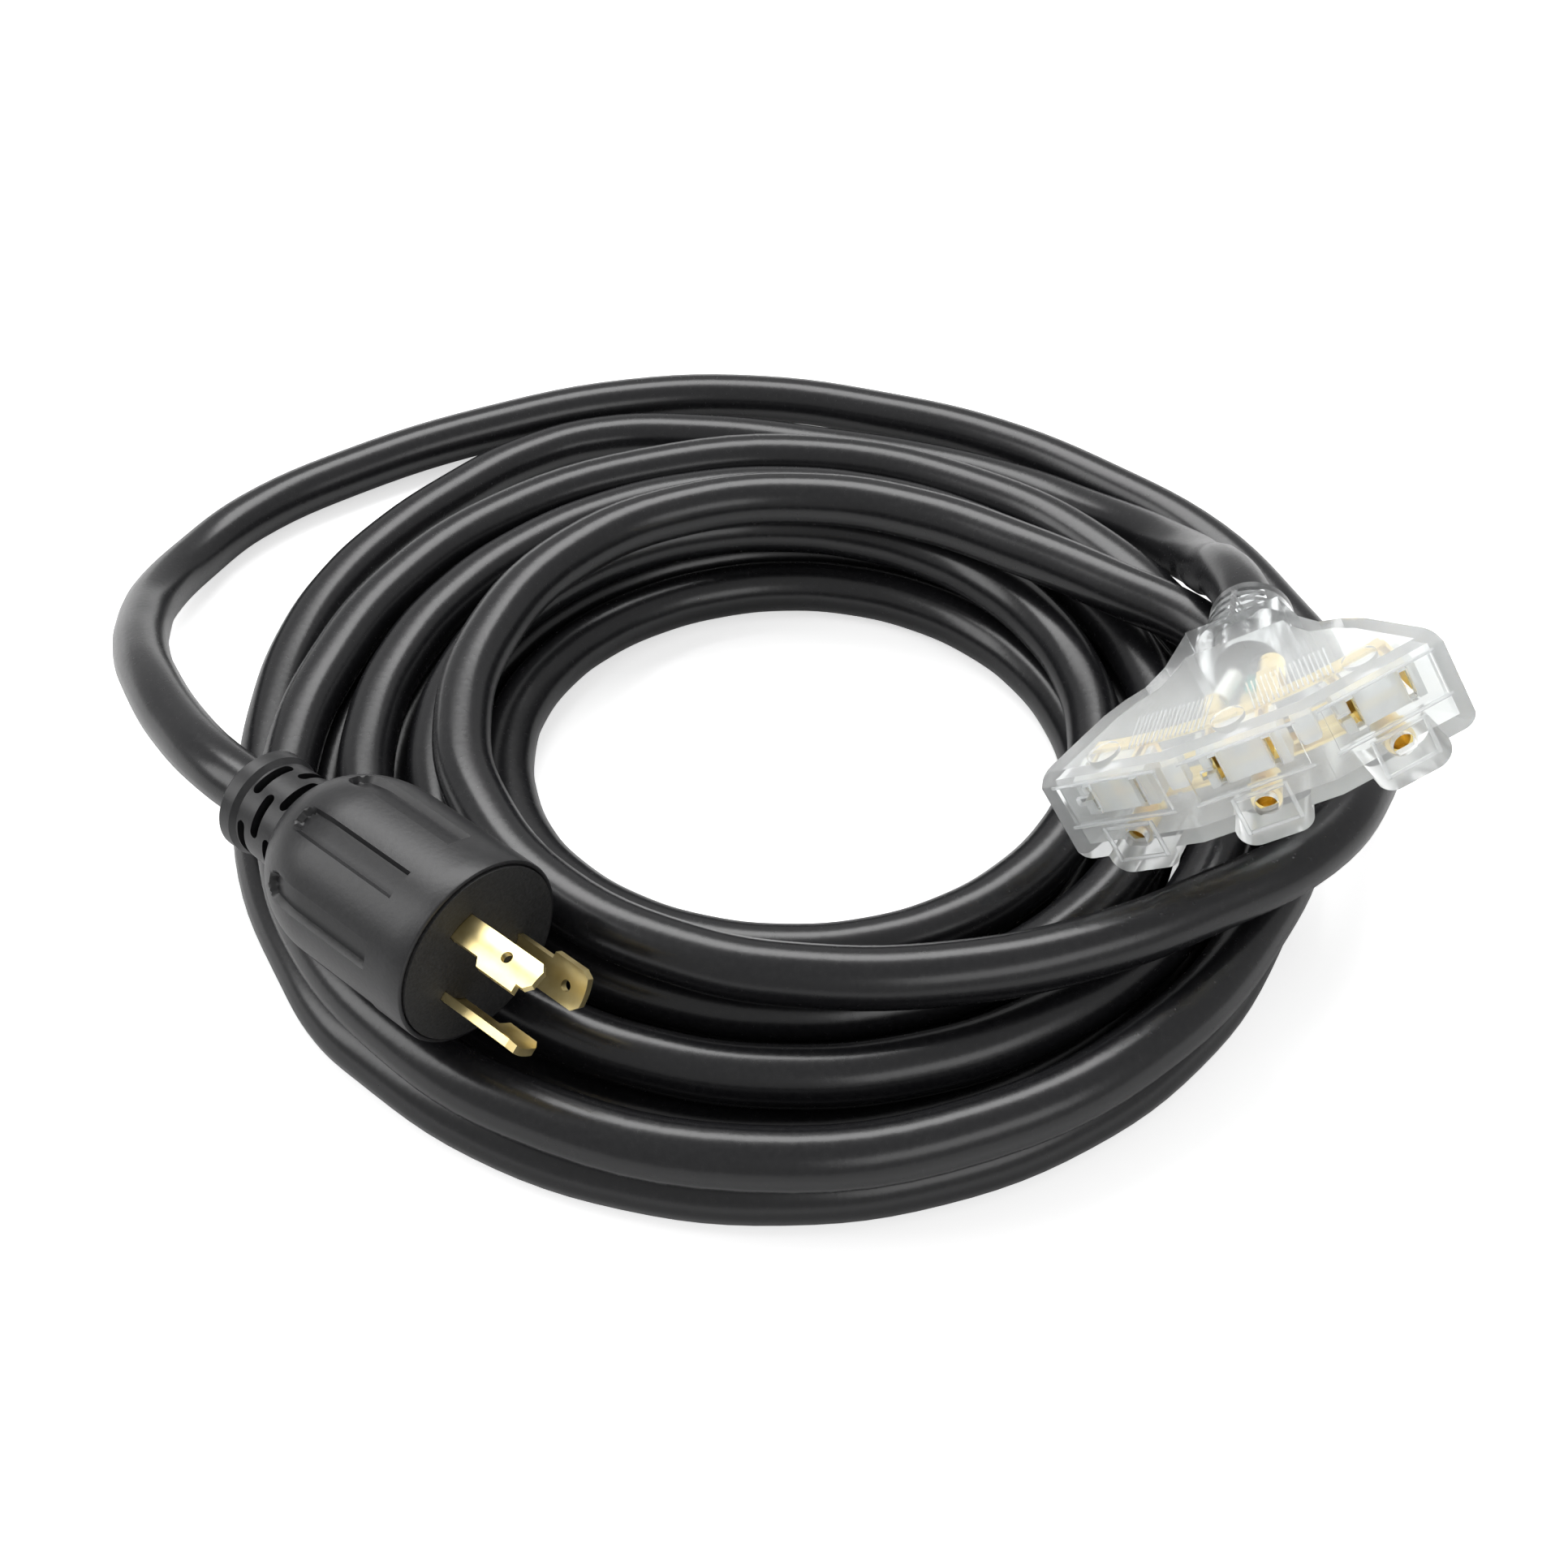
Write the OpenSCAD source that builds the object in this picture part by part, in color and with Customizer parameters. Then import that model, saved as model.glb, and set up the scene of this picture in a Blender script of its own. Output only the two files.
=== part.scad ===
// Power cord for a caravan or a generator: a three blade locking plug, a long
// round cord lying in a loose coil, and a clear fan shaped tap with three outlets.
// Millimetres, +Z up, standing on the plane z = 0.

/* [Cord] */
// Diameter of the cord's jacket
cord_d = 15; // [14:0.1:15.4]
// Diameter of one insulated conductor
wire_d = 4.2; // [3.4:0.1:4.6]

/* [Coil] */
// Radius of the innermost turn, at the middle of the cord
coil_r = 75; // [73:1:77]
// Turns in the layer that lies on the floor
floor_turns = 3.9; // [3.7:0.1:4]
// Turns in the layer on top of it
top_turns = 2.433; // [2.3:0.001:2.5]
// Step from one turn to the next on the floor
floor_pitch = 16.3; // [16:0.1:16.6]
// Step from one turn to the next in the upper layer
top_pitch = 18.3; // [18:0.1:18.6]
// Clear space between the two layers
layer_gap = 0.6; // [0.5:0.1:1.5]

/* [Plug] */
// Outside diameter of the plug's body
plug_d = 46; // [44:0.5:48]
// Length of the plug's body, without its strain relief
plug_len = 56.5; // [54:0.5:60]
// Length of the strain relief behind the body
plug_relief_len = 21.5; // [20:0.5:24]
// Diameter of the collar at the end of the strain relief
plug_collar_d = 26; // [25:0.5:28]
// Number of finger flutes round the body
flutes = 8; // [6:1:10]
// Width of one flute
flute_w = 7; // [6:0.5:9]
// Depth of one flute
flute_depth = 1.4; // [0.8:0.1:1.8]
// Length of the smooth band in front of the flutes
front_band = 12; // [9:1:16]
// Thickness of the separate face disc
face_t = 8; // [6:0.5:10]
// Thickness of the rim round the face disc
face_rim = 1.2; // [0.8:0.1:2]

/* [Blades] */
// Radius of the circle that the blades follow
blade_r = 12.3; // [11.5:0.1:13]
// Thickness of a blade
blade_t = 1.8; // [1.4:0.1:2.2]
// Length of the ground blade in front of the face
blade_len = 23.8; // [22:0.1:25]
// Full width of the ground blade
ground_w = 8.6; // [8.2:0.1:9]
// Full width of the two line blades
line_w = 10.4; // [10:0.1:10.8]
// Diameter of the hole in a blade
blade_hole_d = 2.7; // [2.4:0.1:3]

/* [Tap] */
// Angle between one outlet's face and the next
facet_turn = 18.4; // [16:0.1:20]
// Width of one outlet's face
facet_w = 33; // [31:0.5:35]
// Height of the tap above the middle of the slots
tap_top = 9; // [8.6:0.1:10]
// Depth of the tap below the middle of the slots
tap_low = 15.4; // [15:0.1:16]
// How far the ground tabs hang below the tap
tab_drop = 5.6; // [5:0.2:7]
// Width of a ground tab
tab_w = 18; // [16:0.5:20]
// Wall of the tap's housing
tap_wall = 2.8; // [2.4:0.1:3]
// Distance from the middle outlet's face to the end of the neck
tap_len = 75; // [73:0.5:78]
// Diameter of the neck at its end
neck_end_d = 21; // [19:0.5:23]

/* [Outlets] */
// Distance between the two line slots
slot_gap = 12.7; // [12.5:0.1:12.9]
// Distance from the line slots down to the ground hole
ground_gap = 11.9; // [11.5:0.1:12.2]
// Width of a line slot
slot_w = 1.9; // [1.7:0.1:2.2]
// Height of a line slot
slot_h = 8; // [7:0.1:8.4]
// Diameter of the ground hole
ground_hole_d = 5.4; // [5:0.1:5.8]
// Thickness of the brass strips
strip_t = 0.8; // [0.6:0.1:1]

/* [Hidden] */
$fn = 64;
eps = 0.01;
fit = 0.15;                          // clearance round a piece in its pocket

black = [0.07, 0.07, 0.07];
clear = [0.88, 0.9, 0.9, 0.4];
brass = [0.86, 0.7, 0.36];

// ---------- places ----------
rest_at = [13, -20.5, 0];            // the coil's axis on the floor
plug_at = rest_at + [-67, -106, 55]; // middle of the plug's face
plug_turn = [0, 88.4, -41];
tap_at = rest_at + [102, -76, 84];   // middle of the middle outlet's slots
tap_turn = [76, -32, -4];

function turned(v, a) =
  let (x = [v[0], v[1] * cos(a[0]) - v[2] * sin(a[0]), v[1] * sin(a[0]) + v[2] * cos(a[0])],
       y = [x[0] * cos(a[1]) + x[2] * sin(a[1]), x[1], x[2] * cos(a[1]) - x[0] * sin(a[1])])
  [y[0] * cos(a[2]) - y[1] * sin(a[2]), y[0] * sin(a[2]) + y[1] * cos(a[2]), y[2]];

module in_plug() {
  translate(plug_at) rotate(plug_turn) children();
}

module in_tap() {
  translate(tap_at) rotate(tap_turn) children();
}

// ---------- cord route ----------
plug_end = plug_len + plug_relief_len;
function plug_exit(out) = plug_at + turned([0, 0, -plug_end - out], plug_turn);

neck_y = (tap_top - tap_low) / 2;
function tap_exit(out) = tap_at + turned([0, neck_y, -tap_len - out], tap_turn);

// The coil: the lower layer spirals in on the floor and the upper one out again,
// with the climb in the half turn where the spiral reverses.
rings_per_turn = 24;
coil_sides = 6;
coil_start = 225;                    // degrees, under the plug
coil_flat = cord_d / 10;             // depth of the flat that the coil rests on
floor_z = cord_d / 2 - coil_flat;
top_z = cord_d * 1.5 + layer_gap;
climb = 0.5;                         // turns
coil_steps = round((floor_turns + top_turns) * rings_per_turn);
function smooth(u) = let (c = min(1, max(0, u))) c * c * (3 - 2 * c);
function coil_radius(t) =
  coil_r + (t < floor_turns ? (floor_turns - t) * floor_pitch : (t - floor_turns) * top_pitch);
function coil_point(t) =
  let (a = coil_start + 360 * t, up = smooth((t - floor_turns + climb / 2) / climb))
  rest_at + [coil_radius(t) * cos(a), coil_radius(t) * sin(a), floor_z + (top_z - floor_z) * up];
coil_length = floor_turns + top_turns;
coil_points = [for (i = [0:coil_steps]) coil_point(i / coil_steps * coil_length)];
function coil_heading(t) = coil_point(t + 0.002) - coil_point(t - 0.002);
function unit(v) = v / norm(v);
coil_in = coil_points[0] - unit(coil_heading(0)) * cord_d;
coil_out = coil_points[coil_steps] + unit(coil_heading(coil_length)) * cord_d;

// Free stretches, as points measured from the coil's axis on the floor
tap_route = [
  [118.5, 11.5, 61.5], [118, 30, 53], [118.5, 45, 42], [119, 60.5, 32.5], [116, 76.5, 24],
  [109, 93, 17], [95.5, 110, 11.5], [75.5, 127, 8.5], [46, 140, 8], [12, 149, 8], [-26, 156, 8],
  [-60, 155, 8], [-85, 143, 8], [-106, 123, 8], [-123, 101, 8], [-135, 78, 8],
  [-142, 52, 8], [-144, 24, 8], [-142, -6, 8], [-135, -39, 8], [-119, -72, 8]
];
plug_route = [
  [122, 8, 23], [115, 39, 23], [93, 77, 23], [64, 103, 23], [11, 123, 23], [-44, 116, 23],
  [-87, 92, 23], [-113, 60, 23], [-126, 26, 23], [-131, -8, 23], [-127, -42, 23],
  [-114, -74, 23], [-90, -103, 23], [-60, -124, 23], [-8, -138, 23], [44, -130, 23],
  [88, -104, 23.5], [117, -69, 23.5], [129, -46, 27], [133, -22, 33.5], [127, 1, 39],
  [113, 22, 40], [92, 39, 40], [68, 56, 40], [40, 72, 40], [8, 80, 40],
  [-28, 75, 40], [-60, 54, 40], [-79, 20, 40], [-83, -18, 40], [-75, -46, 40], [-54, -75, 40],
  [-22, -94, 40], [6, -100, 40], [40, -99, 40], [72, -91, 40], [100, -78, 40], [128, -61, 40],
  [146, -37, 37], [156, -6, 25], [159, 28, 12], [150, 62, 8], [132, 100, 8], [104, 129, 8],
  [70, 154, 8], [34, 169, 8], [-8, 179, 8], [-52, 177, 8], [-98, 161, 8], [-140, 137, 8],
  [-168, 113, 8], [-180.5, 90, 9.5], [-185, 64, 16], [-181, 38, 26], [-175, 18, 34],
  [-165, -4, 42], [-152, -26, 48]
];
function moved(points) = [for (p = points) p + rest_at];
tap_points = concat([tap_exit(0)], moved(tap_route), [coil_in, coil_points[0]]);
plug_points = concat([coil_points[coil_steps], coil_out], moved(plug_route),
                     [plug_exit(cord_d), plug_exit(0)]);
lead_sides = 8;

// A tube of round section along points, its rings square to the way between neighbours
function heading(p, i) = unit(p[min(i + 1, len(p) - 1)] - p[max(i - 1, 0)]);
function side_of(h) = unit(cross(h, [0, 0, 1]));
function ring(p, i, r, n) =
  let (h = i == 0 ? unit(p[1] - p[0]) : i == len(p) - 1 ? unit(p[i] - p[i - 1]) : heading(p, i),
       s = side_of(h), u = cross(s, h))
  [for (k = [0:n - 1]) p[i] + r * (cos(360 * k / n) * u + sin(360 * k / n) * s)];

module tube(p, r, n) {
  count = len(p);
  verts = [for (i = [0:count - 1]) each ring(p, i, r, n)];
  walls = [for (i = [0:count - 2]) for (k = [0:n - 1]) each [
    [i * n + k, i * n + (k + 1) % n, (i + 1) * n + k],
    [(i + 1) * n + k, i * n + (k + 1) % n, (i + 1) * n + (k + 1) % n]]];
  first = [for (k = [1:n - 2]) [0, k + 1, k]];
  last = [for (k = [1:n - 2]) [(count - 1) * n, (count - 1) * n + k, (count - 1) * n + k + 1]];
  polyhedron(verts, concat(first, walls, last));
}

// Least gap between points of the coil that lie more than half a turn apart
function gap_from(i) = min([for (j = [i + rings_per_turn / 2:coil_steps]) norm(coil_points[i] - coil_points[j])]);
coil_gap = min([for (i = [0:coil_steps - rings_per_turn / 2]) gap_from(i)]) - cord_d;
echo(coil_gap = coil_gap);

function run(p) = len(p) < 2 ? 0 : norm(p[1] - p[0]) + run([for (i = [1:len(p) - 1]) p[i]]);
echo(cord_length = run(tap_points) + run(coil_points) + run(plug_points));

floor_side = 600;                    // a box above the floor, larger than the whole part

// Cuts what it holds flat on the floor
module on_floor() {
  intersection() {
    children();
    translate([-floor_side / 2, -floor_side / 2, 0]) cube([floor_side, floor_side, floor_side / 3]);
  }
}

module cord_coil() {
  color(black) on_floor() tube(coil_points, cord_d / 2, coil_sides);
}

module plug_lead() {
  color(black) tube(plug_points, cord_d / 2, lead_sides);
}

module tap_lead() {
  color(black) on_floor() tube(tap_points, cord_d / 2, lead_sides);
}

// ---------- plug ----------
plug_r = plug_d / 2;
shoulder_len = 20.5;                 // rounding at the back of the body
shoulder_reach = 24;                 // half axes of the ellipse that it follows
shoulder_drop = 18;
neck_r = plug_collar_d / 2 - 0.5;    // where the strain relief starts
face_r = plug_r - face_rim;
crimp_len = 10;
crimp_d = wire_d + 2;
crimp_bore = wire_d - 1.4;           // it holds the bare strands
crimp_z = -face_t - 6;               // front end of a crimp
wire_back = -plug_len + 8;           // where the conductors leave the jacket

ground_angle = 196;
neutral_angle = 54;
hot_angle = -neutral_angle;
wire_spread = wire_d / 2 / sin(neutral_angle) + 0.2;

function shoulder(u) = [
  plug_r - shoulder_drop * (1 - sqrt(1 - pow(u * shoulder_len / shoulder_reach, 2))),
  -plug_len + shoulder_len * (1 - u)];

module plug_outline() {
  polygon(concat(
    [[0, 0], [face_r, 0], [face_r + 0.2, -0.6], [plug_r, -0.6]],
    [for (u = [0:0.1:1]) shoulder(u)],
    [[0, -plug_len]]));
}

// A rod between two points, its ends cut back until they clear flat faces at both
module rod(p, q, d, short) {
  v = q - p;
  cut = short * (d / 2 * norm([v[0], v[1]]) / norm(v) + fit) * norm(v) / abs(v[2]);
  translate(p + v / norm(v) * cut) rotate([0, acos(v[2] / norm(v)), atan2(v[1], v[0])])
    cylinder(d = d, h = norm(v) - 2 * cut);
}

// Follows one conductor from the jacket's end to the crimp on the blade at this angle
module along_wire(angle, d, short) {
  rotate([0, 0, angle])
    rod([wire_spread, 0, wire_back], [blade_r, 0, crimp_z - crimp_len], d, short);
}

module crimp_space(angle, d) {
  rotate([0, 0, angle]) translate([blade_r, 0, crimp_z - crimp_len])
    cylinder(d = d, h = crimp_len);
}

module plug_body() {
  color(black) in_plug() difference() {
    rotate_extrude() plug_outline();
    translate([0, 0, -face_t]) cylinder(r = face_r, h = face_t + 1);
    for (i = [0:flutes - 1])
      rotate([0, 0, 360 / flutes * (i + 0.5)])
        translate([plug_r - flute_depth, -flute_w / 2, -plug_len])
          cube([plug_r, flute_w, plug_len - front_band]);
    for (a = [ground_angle, neutral_angle, hot_angle]) {
      along_wire(a, wire_d + 2 * fit, 0);
      crimp_space(a, crimp_d + 2 * fit);
    }
    blade_slots(crimp_z - 1, -face_t + 1);
    translate([0, 0, -plug_len - 1]) cylinder(d = cord_d + 2 * fit, h = wire_back + plug_len + 1 + fit);
  }
}

slot_rows = 3;
slots_per_row = 4;
relief_slot_w = 2.6;
relief_slot_len = 8.5;
collar_len = 7;

module relief_slot(z, angle) {
  rotate([0, 0, angle]) translate([cord_d / 2 + 1, 0, z]) {
    translate([0, -relief_slot_len / 2, -relief_slot_w / 2])
      cube([plug_collar_d, relief_slot_len, relief_slot_w]);
    for (y = [-relief_slot_len / 2, relief_slot_len / 2])
      translate([0, y, 0]) rotate([0, 90, 0]) cylinder(d = relief_slot_w, h = plug_collar_d, $fn = 24);
  }
}

module plug_strain_relief() {
  slotted = plug_relief_len - collar_len;
  color(black) in_plug() translate([0, 0, -plug_len]) difference() {
    rotate_extrude() polygon([
      [cord_d / 2 + fit, 0], [neck_r, 0], [neck_r - 0.5, -slotted], [plug_collar_d / 2, -slotted - 1.5],
      [plug_collar_d / 2, -plug_relief_len + 2], [plug_collar_d / 2 - 2, -plug_relief_len],
      [cord_d / 2 + fit, -plug_relief_len]]);
    for (row = [0:slot_rows - 1])
      for (i = [0:slots_per_row - 1])
        relief_slot(-slotted * (row + 0.5) / slot_rows - 0.5, 360 / slots_per_row * (i + row / 2));
  }
}

// Radial extrusion of a flat outline whose x runs round the blade circle and y along the plug
module radial(angle, depth) {
  rotate([0, 0, angle]) translate([blade_r - depth / 2, 0, 0])
    rotate([90, 0, 90]) linear_extrude(depth) children();
}

module blade_ring(from, to, t) {
  translate([0, 0, from]) difference() {
    cylinder(r = blade_r + t / 2, h = to - from);
    translate([0, 0, -1]) cylinder(r = blade_r - t / 2, h = to - from + 2);
  }
}

tip = 1.6;                           // chamfer at a blade's tip
ground_root = ground_w - 1.8;        // width of the ground blade's narrow part
line_root = line_w - 2.2;            // and of the line blades'
ground_neck = 8.5;                   // length of the narrow parts
line_neck = 11;
hook_z = blade_len - 3.4;            // notch beyond the ground blade's wide part
line_len = blade_len - 1.8;

// Room for a blade's root from one height to another
module blade_slot(angle, w, from, to) {
  intersection() {
    blade_ring(from, to, blade_t + 2 * fit);
    radial(angle, 4 * blade_t + 4) translate([-w / 2 - fit, from]) square([w + 2 * fit, to - from]);
  }
}

module blade_slots(from, to) {
  blade_slot(ground_angle, ground_root, from, to);
  blade_slot(hot_angle, line_root, from, to);
  blade_slot(neutral_angle, line_root, from, to);
}

module ground_outline() {
  a = ground_root / 2;
  w = ground_w - a;
  polygon([
    [-a, crimp_z], [a, crimp_z], [a, ground_neck], [w, ground_neck + 1], [w, hook_z],
    [a, hook_z], [a, blade_len - tip], [a - tip, blade_len], [tip - a, blade_len], [-a, blade_len - tip]]);
}

module line_outline() {
  a = line_root / 2;
  w = line_w - a;
  polygon([
    [-a, crimp_z], [a, crimp_z], [a, line_neck], [w, line_neck + 1], [w, line_len - tip],
    [w - tip, line_len], [tip - a, line_len], [-a, line_len - tip]]);
}

module blade(angle, hole_z) {
  color(brass) in_plug() difference() {
    intersection() {
      blade_ring(crimp_z, blade_len, blade_t);
      radial(angle, 4 * blade_t + 4) children();
    }
    rotate([0, 0, angle]) translate([0, 0, hole_z])
      rotate([0, 90, 0]) cylinder(d = blade_hole_d, h = 2 * blade_r, $fn = 32);
  }
}

module plug_ground_blade() {
  blade(ground_angle, ground_neck + 6) ground_outline();
}

module plug_hot_blade() {
  blade(hot_angle, line_neck + 5.5) line_outline();
}

module plug_neutral_blade() {
  blade(neutral_angle, line_neck + 5.5) line_outline();
}

module plug_face() {
  color([0.05, 0.05, 0.05]) in_plug() difference() {
    translate([0, 0, -face_t]) cylinder(r = face_r - fit, h = face_t);
    blade_slots(-face_t - 1, 1);
  }
}

// A crimp barrel: it holds the blade's root in a slot and the conductor's end in a bore
module plug_crimp(angle) {
  color(brass) in_plug() difference() {
    crimp_space(angle, crimp_d);
    rotate([0, 0, angle]) translate([blade_r, 0, crimp_z - crimp_len - 1])
      cylinder(d = crimp_bore, h = crimp_len - 1);
  }
}

module plug_ground_crimp() {
  plug_crimp(ground_angle);
}

module plug_hot_crimp() {
  plug_crimp(hot_angle);
}

module plug_neutral_crimp() {
  plug_crimp(neutral_angle);
}

module plug_green_wire() {
  color([0.1, 0.5, 0.3]) in_plug() along_wire(ground_angle, wire_d, 1);
}

module plug_black_wire() {
  color([0.12, 0.12, 0.12]) in_plug() along_wire(hot_angle, wire_d, 1);
}

module plug_white_wire() {
  color([0.9, 0.9, 0.88]) in_plug() along_wire(neutral_angle, wire_d, 1);
}

module plug_cord_end() {
  color(black) in_plug() translate([0, 0, -plug_end]) cylinder(d = cord_d, h = plug_end + wire_back);
}

// ---------- tap ----------
// Seen from the front: x across the tap, y up its face, z out of the middle outlet.
apothem = facet_w / 2 / tan(facet_turn / 2);
front_x = (apothem / cos(facet_turn / 2)) * sin(1.5 * facet_turn);
// The housing's outline behind the outlets: x as a part of front_x, and z
flank = [[0.96, -13], [0.67, -29], [0.56, -33], [0.45, -35.5], [0.35, -42], [0.25, -55]];
throat_w = front_x / 2;
plan_end = -56;                      // where the housing ends and the strain relief starts
corner_r = 3.5;
top_bevel = 2.5;                     // along the front edge of the top
tap_span = 100;                      // more than the tap's length
chamber_end = -46;
tab_depth = 17;
tab_r = 4.5;
bump_d = 8;                          // round bump over each outlet
bump_rise = 1;
bump_back = bump_d / 2 + 1.5;        // its middle, behind the face
recess_w = 26;                       // recess round the slots
recess_h = 11;
recess_depth = 1.2;
socket_d = ground_hole_d + 1.6;      // ground contact, and the bore that holds it
socket_len = 13;
relief_bars = 4;
bar_w = 6.7;                         // one bar's window, and half the post between two
bar_gap = 0.8;

module facet(i) {
  translate([0, 0, -apothem]) rotate([0, i * facet_turn, 0]) translate([0, 0, apothem]) children();
}

function fan_point(k, r) = [r * sin(k * facet_turn), r * cos(k * facet_turn) - apothem];

// The housing's front corner, in from its side and its face
function front_corner(inset) =
  let (a = facet_turn, x = facet_w / 2 - inset, r = apothem - inset)
  [x * cos(a) + r * sin(a), r * cos(a) - x * sin(a) - apothem];

function half_plan(inset) = concat(
  [fan_point(0.5, (apothem - inset) / cos(facet_turn / 2)), front_corner(inset)],
  [for (p = flank) [p[0] * front_x - inset, p[1]]],
  [[throat_w / 2 - inset, plan_end]]);

module plan(inset, end) {
  right = half_plan(inset);
  intersection() {
    polygon(concat(right, [for (i = [len(right) - 1:-1:0]) [-right[i][0], right[i][1]]]));
    translate([-tap_span / 2, end]) square(tap_span);
  }
}

// Upright slab of the plan between two heights
module slab(low, high, inset, end) {
  translate([0, high, 0]) rotate([90, 0, 0]) linear_extrude(high - low) plan(inset, end);
}

module rounded(x0, x1, y0, y1, r) {
  translate([x0 + r, y0]) square([x1 - x0 - 2 * r, y1 - y0]);
  translate([x0, y0 + r]) square([x1 - x0, y1 - y0 - 2 * r]);
  for (x = [x0 + r, x1 - r]) for (y = [y0 + r, y1 - r]) translate([x, y]) circle(r = r);
}

module line_slots(front, back) {
  for (x = [-slot_gap / 2, slot_gap / 2])
    translate([x - slot_w / 2, -slot_h / 2, back]) cube([slot_w, slot_h, front - back]);
  translate([-slot_gap / 2 - 4, -slot_w / 2, back]) cube([4, slot_w, front - back]);
}

module ground_hole(front, back) {
  difference() {
    translate([0, -ground_gap, back]) cylinder(d = ground_hole_d, h = front - back);
    translate([-ground_hole_d, -ground_gap - ground_hole_d, back - 1])
      cube([2 * ground_hole_d, ground_hole_d / 2 + 1, front - back + 2]);
  }
}

// Flat outline of a tab and the part of the face above it
module tab_outline() {
  rounded(-tab_w / 2, tab_w / 2, -tap_low - tab_drop, 0, tab_r);
}

module tap_shape() {
  difference() {
    intersection() {
      slab(-tap_low, tap_top, 0, plan_end);
      translate([0, 0, plan_end - 1]) linear_extrude(tap_span)
        rounded(-front_x - 0.1, front_x + 0.1, -tap_low, tap_top, corner_r);
    }
    for (i = [-1:1]) facet(i) translate([0, tap_top, 0]) rotate([45, 0, 0])
      cube([tap_span, top_bevel * sqrt(2), top_bevel * sqrt(2)], center = true);
  }
  for (i = [-1:1]) facet(i) {
    translate([0, 0, -tab_depth]) linear_extrude(tab_depth) tab_outline();
    translate([0, tap_top + bump_rise, -bump_back]) rotate([90, 0, 0])
      cylinder(d = bump_d, h = bump_rise + tap_wall / 2);
  }
}

module tap_housing() {
  color(clear) in_tap() difference() {
    tap_shape();
    slab(-tap_low + tap_wall, tap_top - tap_wall, tap_wall, chamber_end);
    translate([0, neck_y, plan_end - 1])
      cylinder(d = cord_d + 2 * fit, h = chamber_end - plan_end + 2);
    for (i = [-1:1]) facet(i) {
      translate([-recess_w / 2, -recess_h / 2, -recess_depth]) cube([recess_w, recess_h, recess_depth + 1]);
      line_slots(1, -tap_wall - 1);
      ground_hole(1, -tap_wall - 1);
      translate([0, -ground_gap, -tap_wall - socket_len])
        cylinder(d = socket_d + 2 * fit, h = socket_len);
    }
  }
}

module tap_strain_relief() {
  len_r = tap_len + plan_end;
  step = len_r / (relief_bars + 0.5);
  color(clear) in_tap() translate([0, neck_y, -tap_len]) difference() {
    cylinder(d1 = neck_end_d, d2 = throat_w, h = len_r);
    translate([0, 0, -1]) cylinder(d = cord_d + 2 * fit, h = len_r + 2);
    for (i = [0:relief_bars - 1]) for (x = [-bar_w - bar_gap, bar_gap]) for (m = [0, 1])
      mirror([0, m, 0]) translate([x, cord_d / 2 + bar_gap, (i + 0.75) * step])
        cube([bar_w, neck_end_d, step / 2]);
  }
}

core_w = 19;
core_front = -tap_wall - fit;
core_back = -11;
core_slot_back = -7;                 // depth of the slots in a core
leaf_gap = 1.5;                      // clear way between two leaves
leaf_x = leaf_gap / 2 + strip_t;     // outside of a leaf
contact_back = -15;
socket_back = contact_back + 2;      // closed end of a ground contact
half_core = slot_h / 2 + 0.6;

module outlet_core(i) {
  color([0.95, 0.95, 0.93]) in_tap() facet(i) difference() {
    translate([-core_w / 2, -half_core, core_back]) cube([core_w, 2 * half_core, core_front - core_back]);
    line_slots(1, core_slot_back);
    for (x = [-slot_gap / 2, slot_gap / 2])
      translate([x - leaf_x - fit, -half_core - 1, core_back - 1])
        cube([2 * (leaf_x + fit), 2 * half_core + 2, core_front - core_back - 1]);
  }
}

module left_outlet_core() {
  outlet_core(-1);
}

module middle_outlet_core() {
  outlet_core(0);
}

module right_outlet_core() {
  outlet_core(1);
}

// Two spring leaves and the web behind them, from height y0 to y1
module contact(x, y0, y1) {
  for (s = [-1, 1])
    translate([x + s * (leaf_x - strip_t / 2) - strip_t / 2, y0, contact_back])
      cube([strip_t, y1 - y0, core_front - 1.8 - contact_back]);
  translate([x - leaf_x, y0, contact_back]) cube([2 * leaf_x, y1 - y0, strip_t]);
}

strip_front = 11;                    // depth of the strips' front edge behind the faces
strip_reach = 1.25;                  // half length of a strip, in facets
tail_w = 5;
tail_end = -27;

// A flat strip that follows the fan at height y, with a tail at x
module fan_strip(y, x) {
  steps = 10;
  reach = [for (k = [-steps:steps]) k * strip_reach / steps];
  translate([0, y + strip_t, 0]) rotate([90, 0, 0]) linear_extrude(strip_t) {
    polygon(concat([for (k = reach) fan_point(k, apothem - strip_front)],
                   [for (k = reach) fan_point(-k, apothem + contact_back)]));
    translate([x - tail_w / 2, tail_end]) square([tail_w, contact_back + 2 - tail_end]);
  }
}

hot_y = half_core + fit;
neutral_y = -half_core - fit - strip_t;
ground_y = -ground_gap + socket_d / 2;
tail_x = 8;
hot_crimp_y = hot_y + strip_t - crimp_d / 2;
neutral_crimp_y = neutral_y + crimp_d / 2;
ground_crimp_y = ground_y + crimp_d / 2 - eps;
tap_crimp_len = 7;
tap_jacket_z = chamber_end + 1;
side_angle = 60;                     // of the outer wires, from straight up
function tail(x, y) = [x, y, tail_end];
function wire_from(a) = [wire_spread * sin(a), neck_y + wire_spread * cos(a), tap_jacket_z];

// A strip's crimp barrel, its middle at x and y
module crimp(x, y) {
  difference() {
    translate(tail(x, y) - [0, 0, tap_crimp_len]) cylinder(d = crimp_d, h = tap_crimp_len + 1);
    translate(tail(x, y) - [0, 0, tap_crimp_len + 1]) cylinder(d = crimp_bore, h = tap_crimp_len);
  }
}

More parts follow.
